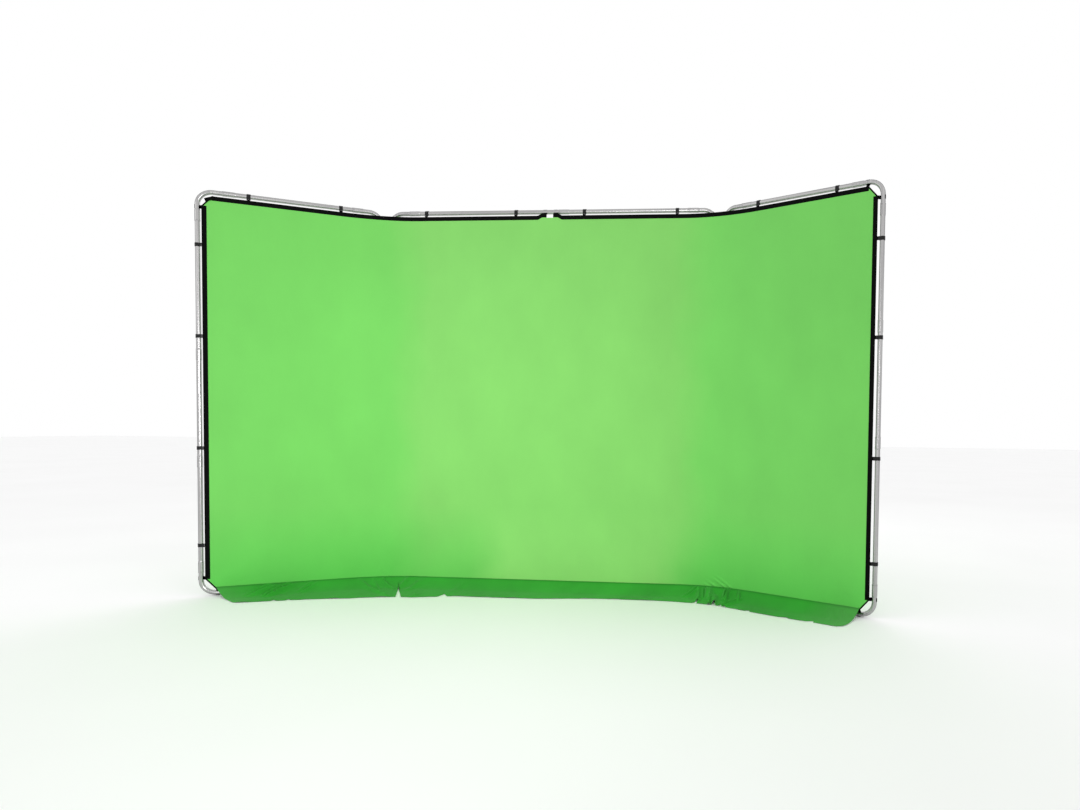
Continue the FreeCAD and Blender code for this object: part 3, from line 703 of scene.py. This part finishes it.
def plastic_material(name, colour, rough_low, rough_high):
    """Moulded nylon: fine grain, slightly rubbed."""
    n = Nodes(name)
    where = n.solid()
    grain = n.noise(where, 1400, detail=2)
    rubs = n.noise(where, 70, detail=5, rough=0.65)
    shade = n.ramp(rubs, [(0.35, tinted(colour, 0.75)), (0.75, tinted(colour, 1.5))])
    return n.finish(shade, n.span(rubs, rough_low, rough_high), n.bump(grain, 0.00008, 0.5),
                    Specular_IOR_Level=0.25)


def steel_material(name):
    n = Nodes(name)
    turned = n.noise(n.place(n.solid(), (1, 1, 8)), 260, detail=3)
    colour = n.ramp(turned, [(0.3, (0.40, 0.40, 0.41)), (0.7, (0.60, 0.60, 0.61))])
    return n.finish(colour, n.span(turned, 0.2, 0.45), n.bump(turned, 0.00004, 0.5), Metallic=1.0)


def cord_material(name):
    """Braided elastic: crossing bands."""
    n = Nodes(name)
    braid = n.calc(n.wave(n.solid(), 120, "DIAGONAL"), n.noise(n.solid(), 600), "MULTIPLY")
    colour = n.ramp(braid, [(0.1, (0.008, 0.008, 0.009)), (0.6, (0.05, 0.05, 0.055))])
    return n.finish(colour, n.span(braid, 0.6, 0.85), n.bump(braid, 0.0003, 0.7))


# On the cloth, the paler middle and the foot colours are painted light and shade.
CLOTH = cloth_material("cloth_green", LIT_MIDDLE_GREEN, CLOTH_GREEN, (0.78, 1.00), 0.05, 0.25, foot=FOOT_LIGHT_AND_SHADE)
# On the skirt, seam=0.62 paints a shadow line along its seam.
SKIRT = cloth_material("skirt_green", SKIRT_GREEN, SKIRT_END_GREEN, (1.66, 1.92), 0.14, 0.08, seam=0.62)
TAPE = webbing_material("tape_black", (-0.0095, 0.0095))
STRAP = webbing_material("strap_black", ())
NYLON = plastic_material("nylon_black", (0.004, 0.004, 0.0045), 0.30, 0.55)
PLUG = plastic_material("plug_grey", (0.55, 0.55, 0.52), 0.4, 0.6)
STEEL = steel_material("pin_steel")
ELASTIC = cord_material("elastic_black")
TUBES = {
    "upright": aluminium_material("tube_upright", None),
    "centre": aluminium_material("tube_centre", 0.0),
    "left": aluminium_material("tube_left", -LEAN),
    "right": aluminium_material("tube_right", LEAN),
}


def tube_material(node):
    if "upright" in node or "corner" in node:
        return TUBES["upright"]
    return TUBES[node.split("_")[0]]


def dress_frame():
    """Gives every CAD node that stays its own material."""
    chosen = {"link_jaws": NYLON, "cloth_hooks": NYLON, "hinge_pins": STEEL, "cord_plugs": PLUG,
              "shock_cord": ELASTIC}
    for node, obj in frame["nodes"].items():
        material = next((m for key, m in chosen.items() if key in node), None)
        obj.data.materials.clear()
        obj.data.materials.append(material or tube_material(node))


# ---- cloth --------------------------------------------------------------------------------
# Creases pulled into the cloth: side, start and end as (run length from the middle, height),
# half width and height of the crease.
CREASES = [
    (1, (0.990, 0.044), (0.945, 0.068), 0.005, 0.0095),
    (1, (1.034, 0.044), (0.960, 0.090), 0.005, 0.0120),
    (1, (1.098, 0.044), (0.990, 0.112), 0.006, 0.0130),
    (1, (1.138, 0.044), (1.015, 0.124), 0.006, 0.0095),
    (1, (1.052, 0.046), (0.970, 0.096), 0.006, -0.0050),
    (1, (1.116, 0.046), (1.006, 0.112), 0.006, -0.0050),
    (-1, (1.06, 0.055), (1.00, 0.190), 0.010, 0.0016),
    (-1, (1.00, 0.055), (0.90, 0.160), 0.010, -0.0014),
    (-1, (1.90, 0.090), (1.72, 0.210), 0.012, 0.0016),
    (-1, (1.86, 0.060), (1.66, 0.120), 0.012, -0.0014),
    (1, (1.90, 0.100), (1.74, 0.240), 0.012, 0.0014),
    (1, (1.91, 2.180), (1.78, 2.060), 0.012, 0.0012),
    (-1, (1.91, 2.190), (1.80, 2.080), 0.012, 0.0012),
]


def crease(along, z, start, end, width, height):
    way, spot = Vector(end) - Vector(start), Vector((along, z)) - Vector(start)
    t = spot.dot(way) / way.length_squared
    if not 0 < t < 1:
        return 0.0
    off = (spot - way * t).length
    fade = (1 - t) ** 1.2 * smooth(t, 0.0, 0.12)
    return height * fade * math.exp(-(off / width) ** 2)


RAY_REACH, RAY_ASIDE, RAY_HEIGHT = 0.16, 0.12, 0.0006     # the fan of shallow rays below a hook


def ripple(side, along, z):
    """How far the stretched cloth stands proud of its even shape."""
    slow = noise.noise(Vector((along * 2.2 + 7 * side, z * 1.6, 3.1))) * 0.0012
    lift = slow * slack_at(z)
    for crease_side, start, end, width, height in CREASES:
        if crease_side == side and abs(along - start[0]) < 0.35 and abs(z - start[1]) < 0.35:
            lift += crease(along, z, start, end, width, height)
    for hook in WING_BAR_HOOKS:
        drop, aside = CLOTH_TOP - z, along - (PIN_X + OUTER_U - hook)
        if 0 < drop < RAY_REACH and abs(aside) < RAY_ASIDE:
            angle = math.atan2(aside, drop + 0.01)
            lift += RAY_HEIGHT * math.cos(angle * 9) * (1 - drop / RAY_REACH) * smooth(drop, 0, 0.03)
    return max(lift, 0.0) if z < CLOTH_LOW + TAPE_WIDTH else lift


def outer_edge(z):
    """Where the cloth's outer edge is at a height, with its cut corners.

    The cloth lies inside the tape by the same distance all round, so its own cuts are shorter.
    """
    cut_along, cut_up = (cut - (2 - math.sqrt(2)) * TAPE_PAST_CLOTH for cut in (CUT_ALONG, CUT_UP))
    over = max(z - (CLOTH_TOP - cut_up), CLOTH_LOW + cut_up - z, 0.0)
    return CLOTH_SIDE - cut_along * over / cut_up


def cloth_mesh_lines(last):
    """Columns and heights of the cloth's mesh, closer at the notch, the turn and the foot."""
    notch_end = centre_column(TOP_GAP / 2 + 0.001, CLOTH_DEPTH)
    columns = spaced(0, notch_end, 0.01) + spaced(notch_end + 0.001, 1, 0.024)
    columns += spaced(1, 2, 0.011)[1:] + spaced(2, last, 0.025)[1:]
    heights = spaced(CLOTH_LOW, 0.13, 0.0042) + spaced(0.13, 0.26, 0.0085)[1:]
    heights += spaced(0.26, CLOTH_TOP, 0.020)[1:]
    return columns, heights, notch_end


def notched(z):
    """A height in the column of the notch: the top edge comes down into the tape's opening."""
    low, top = CLOTH_TOP - 0.10, TAPE_TOP - GAP_NOTCH
    if z <= low:
        return z
    return low + (z - low) * (top - low) / (CLOTH_TOP - low)


def freedom(column, last, along, z):
    """How free the cloth is to ripple: 0 where it is held at its edges, 1 away from them."""
    free = smooth(CLOTH_TOP - z, 0.015, 0.05) * smooth(z - CLOTH_LOW, 0.0, 0.012)
    free *= 1 - smooth(column, last - 0.05, last - 0.01)
    return free * smooth(along, 0.0, 0.03)


def make_cloth(side_name):
    side, wing = SIDES[side_name], f"{side_name}_wing"
    last = wing_column(CLOTH_SIDE, CLOTH_DEPTH)
    columns, heights, notch_end = cloth_mesh_lines(last)
    trimmed_from = wing_column(CLOTH_SIDE - 0.13, CLOTH_DEPTH)
    rows, uvs = [], []
    for z in heights:
        end = wing_column(outer_edge(z), CLOTH_DEPTH)
        row, flat = [], []
        for column in columns:
            height = notched(z) if column <= notch_end else z
            if column > trimmed_from:
                share = (column - trimmed_from) / (last - trimmed_from)
                column = trimmed_from + share * (end - trimmed_from)
            along = run_length(column)
            depth = CLOTH_DEPTH + ripple(side, along, z) * freedom(column, last, along, z)
            row.append(run_point(side, column, depth, height, slack_at(z)))
            flat.append((side * along, height))
        rows.append(row)
        uvs.append(flat)
    cloth = grid(f"cloth_{side_name}", rows, uvs, CLOTH, CLOTH_THICK)
    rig.slot(cloth, "green_cloth")
    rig.blend(cloth, "centre_panel", wing, *blend_zone(side, CLOTH_BLEND))
    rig.replaces(cloth, f"{wing}_cloth", "centre_cloth")
    width = PIN_X + CLOTH_SIDE
    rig.sheet(cloth, flat=(width, CLOTH_TOP - CLOTH_LOW), held="stretched",
             rests_on=[f"tape_{side_name}", f"{wing}_cloth_hooks"])


def blend_zone(side, half):
    """The zone that bends with the wing: from a point on the centre panel to one on the wing."""
    start = Vector((side * (PIN_X - half), PIN_Y, 0))
    end = Vector((side * (PIN_X + half * AWAY.x), PIN_Y + half * AWAY.y, 0))
    return start, end


# ---- tape, piping, straps -----------------------------------------------------------------
TAPE_SECTION = rounded_section(TAPE_WIDTH, TAPE_THICK, 0.0011)
FLAT_TAPE_SECTION = rounded_section(TAPE_WIDTH, 0.0008, 0.0003, steps=2)
FLAT_TAPE_DEPTH = 0.0159                 # the bottom edge's tape is behind the cloth


def tape_rise(along):
    """How far the top tape is drawn up to the tube beside its opening."""
    past_gap = along - TOP_GAP / 2
    return TAPE_RISE * (1 - smooth(past_gap, RISE_ENDS, RISE_STARTS))


def make_tape(side_name):
    """Tape folded over the top and outer edges, and lying flat behind the bottom edge."""
    side = SIDES[side_name]
    strips = Strips()
    corner_u = TAPE_SIDE - CUT_ALONG
    runs = (
        (TAPE_TOP - TAPE_WIDTH / 2, centre_column(TOP_GAP / 2, CLOTH_DEPTH), CLOTH_DEPTH, TAPE_SECTION),
        (TAPE_LOW + TAPE_WIDTH / 2, 0.0, FLAT_TAPE_DEPTH, FLAT_TAPE_SECTION),
    )
    for centre, first, depth, section in runs:
        last = wing_column(corner_u, depth)
        columns = spaced(first, first + 0.1, 0.005) + spaced(first + 0.1, 1, 0.05)[1:]
        columns += spaced(1, 2, 0.03)[1:] + spaced(2, last, 0.05)[1:]
        lift = tape_rise if first else (lambda along: 0.0)
        stations = [
            lambda across, through, c=c: run_point(
                side, c, depth + through, centre + across + lift(run_length(c)))
            for c in columns
        ]
        strips.add(stations, section, [run_length(c) for c in columns])
    middle_u = TAPE_SIDE - TAPE_WIDTH / 2
    heights = spaced(TAPE_LOW + CUT_UP, TAPE_TOP - CUT_UP, 0.04)
    stations = [
        lambda across, through, z=z: wing_point(side, middle_u + across, CLOTH_DEPTH + through, z)
        for z in heights
    ]
    strips.add(stations, TAPE_SECTION, heights)
    tape = strips.make(f"tape_{side_name}", TAPE)
    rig.slot(tape, "black_webbing")
    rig.blend(tape, "centre_panel", f"{side_name}_wing", *blend_zone(side, CLOTH_BLEND))
    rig.replaces(tape, f"{side_name}_wing_edge_tape", "centre_edge_tape")
    make_piping(side_name)


def make_piping(side_name):
    """Narrow binding over the two cut corners, its ends running onto the tapes."""
    side, strips = SIDES[side_name], Strips()
    section = rounded_section(PIPING_WIDTH, PIPING_THICK, 0.0013)
    for edge, sign in ((TAPE_TOP, -1), (TAPE_LOW, 1)):
        start = Vector((TAPE_SIDE - CUT_ALONG, edge))
        end = Vector((TAPE_SIDE, edge + sign * CUT_UP))
        way = (end - start).normalized()
        inward = Vector((-way.y, way.x)) * sign
        path = [start.lerp(end, t) + inward * PIPING_WIDTH / 2 for t in (-0.04, 0.0, 0.5, 1.0, 1.04)]
        stations = [
            lambda across, through, p=p, inward=inward: wing_point(
                side, p.x + inward.x * across, CLOTH_DEPTH + through, p.y + inward.y * across)
            for p in path
        ]
        strips.add(stations, section, [0.02 * i for i in range(len(path))])
    piping = strips.make(f"piping_{side_name}", STRAP)
    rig.ride(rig.slot(piping, "black_webbing"), f"{side_name}_wing")


def eased(path, passes=2):
    """Rounds a path's corners by cutting them, keeping its ends."""
    for _ in range(passes):
        finer = [path[0]]
        for a, b in zip(path, path[1:]):
            finer += [a.lerp(b, 0.25), a.lerp(b, 0.75)]
        path = finer + [path[-1]]
    return path


def hook_strap_path():
    """Webbing from behind the tape through a hook's slot and back, as (towards the cloth, depth) pairs."""
    points = [(0.046, 0.01535), (0.030, 0.01535), (0.0252, 0.0157), (0.0215, 0.0161), (0.0190, 0.0152),
              (0.0183, 0.0142), (0.0190, 0.0127), (0.0215, 0.0122), (0.0250, 0.0127), (0.031, 0.0141),
              (0.046, 0.0144)]
    return eased([Vector(p) for p in points])


def corner_loop_path():
    """Webbing from behind the tape to the back of the tube and on to its far side."""
    r = TUBE_R + 0.0008
    first, last = (math.radians(angle) for angle in LOOP_ARC)
    angles = [first + (last - first) * i / 18 for i in range(19)]
    return [Vector((0.045, 0.0148)), Vector((0.034, 0.0144))] + [
        Vector((r * math.cos(a), -r * math.sin(a))) for a in angles]


def strap(strips, path, wide, axis_point, inward, front, sideways):
    """Sweeps one strap along a path in the plane across a tube."""
    section = rounded_section(wide, STRAP_THICK, 0.0004, steps=2)
    stations, lengths, run = [], [], 0.0
    for i, p in enumerate(path):
        before, after = path[max(i - 1, 0)], path[min(i + 1, len(path) - 1)]
        way = (after - before).normalized()
        normal = Vector((-way.y, way.x))
        run += (p - before).length if i else 0.0
        lengths.append(run)

        def station(across, through, p=p, normal=normal):
            spot = p + normal * through
            return axis_point + inward * spot.x + front * spot.y + sideways * across
        stations.append(station)
    strips.add(stations, section, lengths)


def strap_places(panel):
    """For a panel: (kind, point on the tube's axis, towards the cloth, to the front, along the tube)."""
    places = []
    up, front = Vector((0, 0, 1)), Vector((0, -1, 0))
    bars = ((BAR_HIGH, -up), (BAR_LOW, up))
    if panel == "centre":
        for z, inward in bars:
            for x in CENTRE_BAR_HOOKS:
                for side in SIDES.values():
                    places.append(("hook", Vector((side * x, PIN_Y, z)), inward, front, Vector((1, 0, 0))))
        for side in SIDES.values():
            places.append(("loop", Vector((side * LOOP_FROM_MIDDLE, PIN_Y, BAR_HIGH)), -up, front,
                           Vector((1, 0, 0))))
            for z, inward in bars:
                offset = BEND_R * (1 - math.sqrt(0.5))
                spot = Vector((side * (CENTRE_UPRIGHT - offset), PIN_Y, z)) + inward * offset
                diagonal = (inward - Vector((side, 0, 0))).normalized()
                places.append(("bend", spot, diagonal, front, diagonal.cross(front)))
        return places
    side = SIDES[panel]
    along = Vector((side * AWAY.x, AWAY.y, 0))
    front = Vector((side * WING_FRONT.x, WING_FRONT.y, 0))
    for z in OUTER_HOOK_HEIGHTS:
        places.append(("hook", wing_point(side, OUTER_U, 0, z), -along, front, up))
    for z, inward in bars:
        for offset in WING_BAR_HOOKS:
            places.append(("hook", wing_point(side, OUTER_U - offset, 0, z), inward, front, along))
        if panel == "right" or z == BAR_LOW:      # the left wing has its free strap end at the top
            loop_u = OUTER_U - LOOP_FROM_CORNER[0]
            places.append(("loop", wing_point(side, loop_u, 0, z), inward, front, along))
        loop_z = z + inward.z * LOOP_FROM_CORNER[1]
        places.append(("loop", wing_point(side, OUTER_U, 0, loop_z), -along, front, up))
    return places


def add_tail(strips):
    """Free strap end at the left wing's top corner: it runs on past the cut corner, drooping."""
    section = rounded_section(TAIL_WIDE, TAIL_THICK, 0.0005, steps=2)
    depth = CLOTH_DEPTH + TAPE_THICK / 2 + TAIL_THICK / 2 + 0.0001
    runs = spaced(-TAIL_SEWN, TAIL_LENGTH, 0.004)

    def station(run, across, through):
        curl = 0.0008 * math.sin(run * 90) * max(run, 0) / TAIL_LENGTH
        u = TAPE_SIDE - CUT_ALONG + run * math.cos(TAIL_DROOP) + across * math.sin(TAIL_DROOP)
        z = TAPE_TOP - TAPE_WIDTH / 2 - run * math.sin(TAIL_DROOP) + across * math.cos(TAIL_DROOP)
        return wing_point(-1, u, depth + through + curl, z)

    stations = [lambda across, through, run=run: station(run, across, through) for run in runs]
    strips.add(stations, section, runs)


def make_straps():
    widths = {"hook": STRAP_WIDE, "loop": LOOP_WIDE, "bend": BEND_LOOP_WIDE}
    for panel, body in (("left", "left_wing"), ("centre", "centre_panel"), ("right", "right_wing")):
        strips = Strips()
        for kind, *place in strap_places(panel):
            path = hook_strap_path() if kind == "hook" else corner_loop_path()
            strap(strips, path, widths[kind], *place)
        if panel == "left":
            add_tail(strips)
        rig.ride(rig.slot(strips.make(f"straps_{panel}", STRAP), "black_webbing"), body)


# ---- skirt --------------------------------------------------------------------------------
def skirt_reach(side_name, along):
    """How far the skirt's free edge lies in front of the tubes, without its notches and dips."""
    hem = HEM[side_name]
    reach = float(np.interp(along, [place for place, _ in hem], [depth for _, depth in hem]))
    return reach + 0.006 * noise.noise(Vector((along * 5.0, SIDES[side_name] * 5.0, 0.4)))


def peak(value, place, below, above):
    """1 at a place, falling to 0 a distance below and above it."""
    return max(0.0, 1 - abs(value - place) / (above if value > place else below))


def hem_cuts(side_name, along):
    """How much shorter the skirt is at its notches and dips."""
    return sum(depth * peak(along, *place) for *place, depth in HEM_CUTS[side_name])


def fold_height(side_name, along, out):
    """Height of a skirt's folds and of the banks of its creases."""
    total = 0.0
    for folds, furrow in ((SKIRT_FOLDS, False), (SKIRT_CREASES, True)):
        for start, end, width, height in folds[side_name]:
            way, spot = Vector(end) - Vector(start), Vector((along, out)) - Vector(start)
            t = spot.dot(way) / way.length_squared
            if 0 < t < 1:
                off = ((spot - way * t).length / width) ** 2
                profile = off * math.exp(1 - off) if furrow else math.exp(-off)
                total += height * math.sin(math.pi * t) ** 0.6 * profile
    return total * smooth(out, -0.004, 0.024)


def skirt_height(side_name, along, out, reach):
    """Height of the skirt above the floor, out being the distance in front of its seam."""
    drape = (1 - min(out / SKIRT_DRAPE, 1.0)) ** 1.9
    waves = 0.5 + 0.5 * noise.noise(Vector((along * 7.0, out * 6.0, 2.0 + SIDES[side_name])))
    curl = max(0.0, noise.noise(Vector((along * 11.0, SIDES[side_name] * 3.0, 8.0))))
    loose = 0.0045 * waves * smooth(out, 0.01, 0.10) + 0.006 * curl * smooth(out / reach, 0.75, 1.0)
    draped = SKIRT_LIES + (SKIRT_TOP - SKIRT_LIES) * drape
    return draped + loose + fold_height(side_name, along, out)


SKIRT_ROWS = 44


def skirt_columns(side_name, last):
    """Columns of the skirt's mesh, with the left slit's point and its two ends among them."""
    columns = spaced(0, 1, 0.014) + spaced(1, 2, 0.0075)[1:] + spaced(2, last, 0.008)[1:]
    if side_name == "left":
        slit = (NOTCH[0] - NOTCH[1], NOTCH[0], NOTCH[0] + NOTCH[2])
        columns = sorted(columns + [column_at(place) for place in slit])
    return columns


def skirt_depth(side_name, along, from_end):
    """How far the skirt reaches in front of the cloth without its cuts, but with its round corner."""
    whole = skirt_reach(side_name, along) - CLOTH_DEPTH
    corner = HEM_CORNER[side_name]
    if from_end < corner:
        whole -= corner - math.sqrt(corner ** 2 - (corner - from_end) ** 2)
    return whole


def lean_at_slit(along, share_out):
    """How many columns the cloth beside the left slit is drawn outwards, most of all at the seam."""
    near_slit = smooth(1 - abs(along - NOTCH[0]) / NOTCH_LEAN_REACH, 0, 1)
    return NOTCH_LEAN * (1 - share_out) * near_slit / (TURN_ON_CENTRE + TURN_ON_WING)


def make_skirt(side_name):
    side, wing = SIDES[side_name], f"{side_name}_wing"
    seam_end, front_end = SKIRT_END[side_name]
    front_last = wing_column(OUTER_U - front_end, SKIRT_DRAPE)
    columns = skirt_columns(side_name, front_last)
    rows, uvs = [], []
    for i in range(SKIRT_ROWS + 1):
        share = (i / SKIRT_ROWS) ** 1.25      # closer rows near the seam
        row, flat = [], []
        for column in columns:
            along = run_length(column)
            whole = skirt_depth(side_name, along, run_length(front_last) - along)
            out = (whole - hem_cuts(side_name, along)) * share
            depth = CLOTH_DEPTH + SKIRT_PAST_CLOTH + out
            inset = seam_end + (front_end - seam_end) * min(out / SKIRT_END_SLANT, 1.0)
            last = wing_column(OUTER_U - inset, depth)
            if column > 2:
                place = 2 + (column - 2) * (last - 2) / (front_last - 2)
            elif side_name == "left":
                place = column + lean_at_slit(along, out / whole)
            else:
                place = column
            z = skirt_height(side_name, along, out, whole)
            row.append(run_point(side, place, depth, z))
            flat.append((side * along, -out))
        rows.append(row)
        uvs.append(flat)
    skirt = grid(f"skirt_{side_name}", rows, uvs, SKIRT, SKIRT_THICK)
    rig.slot(skirt, "green_skirt")
    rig.blend(skirt, "centre_panel", wing, *blend_zone(side, SKIRT_BLEND))
    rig.replaces(skirt, f"{wing}_skirt", "centre_skirt")
    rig.sheet(skirt, flat=(PIN_X + OUTER_U - seam_end, 0.31), held="draped", rests_on=[f"tape_{side_name}"])


# ---- stage, light and camera --------------------------------------------------------------
# The camera's place is measured from the hinge pins' plane; the shift is in widths of the picture.
CAMERA = {"spot": (1.197, -4.413, 0.995), "yaw": -4.926, "pitch": 2.035, "roll": -0.723,
          "lens_mm": 24.56, "shift": (-0.131759, 0.045093)}
FILM_MM = 36
# Lights: place, aim, size, power in watts, and spread in degrees.
LIGHTS = {
    "key": ((0.3, -5.6, 1.5), (-0.05, 0.3, 0.65), (1.6, 1.2), 8, 52),
    "left_wing": ((3.4, -4.2, 1.3), (-1.45, 0.1, 1.25), (1.0, 1.0), 4.5, 40),
    "fill_left": ((-4.5, -3.0, 2.6), (-0.5, 0.2, 1.0), (2.0, 2.0), 8, 180),
    "back": ((0.5, 5.0, 3.5), (0, 0.2, 1.0), (3.0, 2.0), 30, 180),
}


def make_camera():
    """Camera from its place, aim and lens; the lens's axis is off the picture's middle."""
    yaw, pitch, roll = (math.radians(CAMERA[key]) for key in ("yaw", "pitch", "roll"))
    ahead = Vector((math.sin(yaw) * math.cos(pitch), math.cos(yaw) * math.cos(pitch), -math.sin(pitch)))
    level = Vector((math.cos(yaw), -math.sin(yaw), 0))
    down = ahead.cross(level)
    right = level * math.cos(roll) + down * math.sin(roll)
    up = -(down * math.cos(roll) - level * math.sin(roll))
    data = bpy.data.cameras.new("camera")
    data.sensor_width = FILM_MM
    data.lens = CAMERA["lens_mm"]
    data.shift_x, data.shift_y = CAMERA["shift"]
    camera = bpy.data.objects.new("camera", data)
    bpy.context.scene.collection.objects.link(camera)
    turn = Matrix((right, up, -ahead)).transposed().to_4x4()
    spot = Vector(CAMERA["spot"]) + Vector((0, PIN_Y, 0))
    camera.matrix_world = Matrix.Translation(spot) @ turn
    bpy.context.scene.camera = camera


def make_light(name, spot, aim, size, power, spread):
    data = bpy.data.lights.new(name, "AREA")
    data.spread = math.radians(spread)
    data.shape = "RECTANGLE"
    data.size, data.size_y = size
    data.energy = power
    light = bpy.data.objects.new(name, data)
    bpy.context.scene.collection.objects.link(light)
    light.location = spot
    light.rotation_euler = (Vector(aim) - Vector(spot)).to_track_quat("-Z", "Y").to_euler()


def make_floor():
    n = Nodes("floor_pale")
    tone = n.noise(n.solid(), 0.8, detail=2)
    paint = n.ramp(tone, [(0.3, (0.93, 0.93, 0.93)), (0.7, (0.95, 0.95, 0.95))])
    n.finish(paint, n.span(tone, 0.75, 0.85))
    half = 40        # metres
    floor = link("floor", [(-half, -half, 0), (half, -half, 0), (half, half, 0), (-half, half, 0)],
                 [(0, 1, 2, 3)], [(0, 0), (1, 0), (1, 1), (0, 1)], n.material, shade=False)
    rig.stage(floor)


def make_daylight():
    world = bpy.data.worlds.new("studio")
    bpy.context.scene.world = world
    world.use_nodes = True
    tree = world.node_tree
    back = tree.nodes["Background"]
    back.inputs["Color"].default_value = (1, 1, 1, 1)
    back.inputs["Strength"].default_value = 1.0
    for name, settings in LIGHTS.items():
        make_light(name, *settings)
    bpy.context.scene.view_settings.view_transform = "Standard"


dress_frame()
for name in SIDES:
    make_tape(name)
    make_cloth(name)
    make_skirt(name)
make_straps()
make_floor()
make_daylight()
make_camera()

VISUAL_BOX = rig.bounds()
with open("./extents.json", "w") as size_file:
    json.dump({"cad": [list(p) for p in CAD_BOX], "visual": [list(p) for p in VISUAL_BOX]}, size_file)
